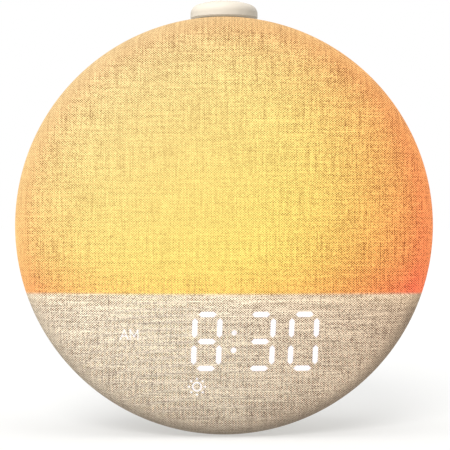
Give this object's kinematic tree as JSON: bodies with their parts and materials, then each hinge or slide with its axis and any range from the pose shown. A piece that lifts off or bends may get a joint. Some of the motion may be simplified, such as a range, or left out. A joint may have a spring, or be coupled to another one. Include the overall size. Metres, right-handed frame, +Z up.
{
  "type": "sunrise alarm clock",
  "caption": "Round bedside alarm clock: domed cloth front with a glowing upper field and lit digits below, big top button, rear speaker, standing on a rubber foot.",
  "frame": {"origin": "the point on the table under the middle of the clock's overall width and depth", "axes": "+Z up; the display faces -Y; X runs left to right as the clock is read"},
  "size_m": [0.176, 0.094, 0.1881],
  "materials": {
    "linen_cloth": "undyed linen-look woven cloth, matt",
    "opal_plastic": "opal light-diffusing plastic",
    "smoked_plastic": "thin tinted display window",
    "frame_plastic": "light moulded plastic",
    "white_plastic": "white reflecting plastic",
    "chassis_plastic": "dark moulded plastic",
    "housing_plastic": "satin cream plastic",
    "button_plastic": "satin cream plastic",
    "grille_plastic": "satin cream plastic, perforated",
    "grille_cloth": "thin speaker cloth",
    "foot_rubber": "soft dark rubber",
    "gasket_rubber": "soft black rubber",
    "cone_paper": "pressed speaker paper",
    "magnet_steel": "plated steel pot",
    "screw_steel": "zinc-plated steel",
    "spring_steel": "spring steel",
    "circuit_board": "green solder mask",
    "lamp_white": "clear lamp packages",
    "black_plastic": "black moulded plastic",
    "can_metal": "tinned metal",
    "plug_nylon": "natural nylon",
    "lead_jacket": "soft black insulation"
  },
  "bodies": {
    "clock_body": {"board_capacitors": "can_metal", "board_chips": "black_plastic", "button_board": "circuit_board", "button_guide": "button_plastic", "button_leads": "lead_jacket", "button_screws": "screw_steel", "button_spring": "spring_steel", "button_switch": "black_plastic", "chassis_plate": "chassis_plastic", "cloth_cover": "linen_cloth", "display_board": "circuit_board", "display_leds": "lamp_white", "display_light_box": "frame_plastic", "display_ribbon": "lead_jacket", "display_screws": "screw_steel", "display_window": "smoked_plastic", "foot_pad": "foot_rubber", "frame_screws": "screw_steel", "front_frame": "frame_plastic", "grille_cloth": "grille_cloth", "housing_screws": "screw_steel", "inlet_board": "circuit_board", "inlet_leads": "lead_jacket", "inlet_screws": "screw_steel", "lead_plugs": "plug_nylon", "light_board": "circuit_board", "light_board_screws": "screw_steel", "light_diffuser": "opal_plastic", "light_leads": "lead_jacket", "main_board": "circuit_board", "main_board_screws": "screw_steel", "power_socket": "can_metal", "radio_module": "can_metal", "rear_grille": "grille_plastic", "rear_housing": "housing_plastic", "reflector_tray": "white_plastic", "rocker_boards": "circuit_board", "rocker_leads": "lead_jacket", "rocker_pins": "screw_steel", "rocker_screws": "screw_steel", "rocker_switches": "black_plastic", "segment_lenses": "opal_plastic", "socket_tongue": "black_plastic", "speaker_basket": "chassis_plastic", "speaker_cup": "chassis_plastic", "speaker_gasket": "gasket_rubber", "speaker_leads": "lead_jacket", "speaker_magnet": "magnet_steel", "speaker_screws": "screw_steel", "speaker_surround": "gasket_rubber", "sunrise_leds": "lamp_white"},
    "top_button": {"top_button": "button_plastic", "button_clip": "spring_steel"},
    "switch_plunger": {"switch_plunger": "black_plastic"},
    "brightness_rocker": {"brightness_rocker": "button_plastic"},
    "volume_rocker": {"volume_rocker": "button_plastic"},
    "speaker_cone": {"speaker_cone": "cone_paper", "speaker_dust_cap": "cone_paper", "voice_coil": "cone_paper"}
  },
  "joints": [
    {"name": "button_press", "type": "slide", "parent": "clock_body", "child": "top_button", "axis": [0, 0, -1], "range_m": [0, 0.0012], "stiffness_N_per_m": 600, "springref_m": -0.002, "deforming": ["button_spring"]},
    {"name": "switch_press", "type": "slide", "parent": "clock_body", "child": "switch_plunger", "axis": [0, 0, -1], "range_m": [0, 0.0012], "stiffness_N_per_m": 100, "springref_m": -0.0005},
    {"name": "brightness_rock", "type": "hinge", "parent": "clock_body", "child": "brightness_rocker", "pos_m": [-0.043, 0.01278, 0.15782], "axis": [0.1698, 0.9473, -0.2718], "range_deg": [-2.5, 2.5], "stiffness_Nm_per_rad": 0.2},
    {"name": "volume_rock", "type": "hinge", "parent": "clock_body", "child": "volume_rocker", "pos_m": [0.043, 0.01278, 0.15782], "axis": [-0.1698, 0.9473, -0.2718], "range_deg": [-2.5, 2.5], "stiffness_Nm_per_rad": 0.2},
    {"name": "cone_travel", "type": "slide", "parent": "clock_body", "child": "speaker_cone", "axis": [0, 1, 0], "range_m": [-0.0008, 0.0008], "stiffness_N_per_m": 900, "deforming": ["speaker_surround"]}
  ],
  "couplings": [
    {"joint": "switch_press", "follows": "button_press", "ratio": 1}
  ]
}
